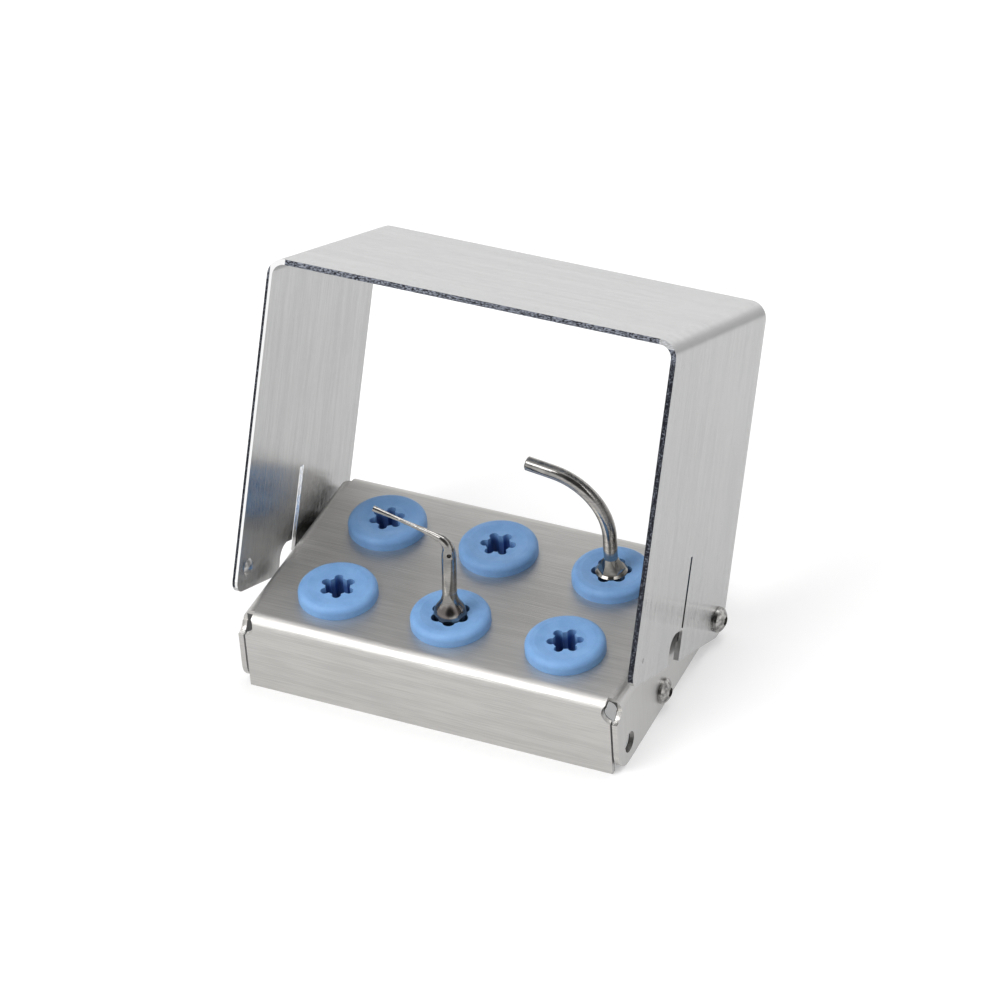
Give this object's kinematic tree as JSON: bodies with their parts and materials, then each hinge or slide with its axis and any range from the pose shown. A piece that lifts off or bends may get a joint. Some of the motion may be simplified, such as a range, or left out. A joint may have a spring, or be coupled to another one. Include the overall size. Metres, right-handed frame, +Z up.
{
  "type": "instrument tip stand",
  "caption": "Small steel tray with soft blue grommets that hold dental instrument tips upright, under a hinged steel arch cover.",
  "frame": {"origin": "on the table, under the middle of the stand's box, with the cover leaning back at its resting angle", "axes": "+Z up, +X to the stand's right as seen from its open front, +Y from the front to the hinge"},
  "size_m": [0.066, 0.0568, 0.0606],
  "materials": {
    "tray_steel": "fine brushed stainless sheet, grain along the width",
    "cover_steel": "fine brushed stainless sheet, grain up the legs",
    "tip_steel": "polished instrument steel",
    "fastener_steel": "bright turned steel",
    "silicone": "smooth satin silicone"
  },
  "bodies": {
    "tray": {"base_tray": "tray_steel", "grommet_front_left": "silicone", "grommet_front_middle": "silicone", "grommet_front_right": "silicone", "grommet_back_left": "silicone", "grommet_back_middle": "silicone", "grommet_back_right": "silicone", "pivot_screw_left": "fastener_steel", "pivot_washer_left": "fastener_steel", "pivot_nut_left": "fastener_steel", "catch_screw_left": "fastener_steel", "catch_nut_left": "fastener_steel", "pivot_screw_right": "fastener_steel", "pivot_washer_right": "fastener_steel", "pivot_nut_right": "fastener_steel", "catch_screw_right": "fastener_steel", "catch_nut_right": "fastener_steel"},
    "cover": {"cover_arch": "cover_steel"},
    "bent_tip": {"bent_tip": "tip_steel"},
    "curved_tip": {"curved_tip": "tip_steel"}
  },
  "joints": [
    {"name": "cover_hinge", "type": "hinge", "parent": "tray", "child": "cover", "pos_m": [0, 0.0053, 0.0034], "axis": [-1, 0, 0], "range_deg": [-25.3, 64.7]},
    {"name": "bent_tip_lift", "type": "slide", "parent": "tray", "child": "bent_tip", "axis": [0, 0, 1], "range_m": [0, 0.01]},
    {"name": "curved_tip_lift", "type": "slide", "parent": "tray", "child": "curved_tip", "axis": [0, 0, 1], "range_m": [0, 0.01]}
  ]
}
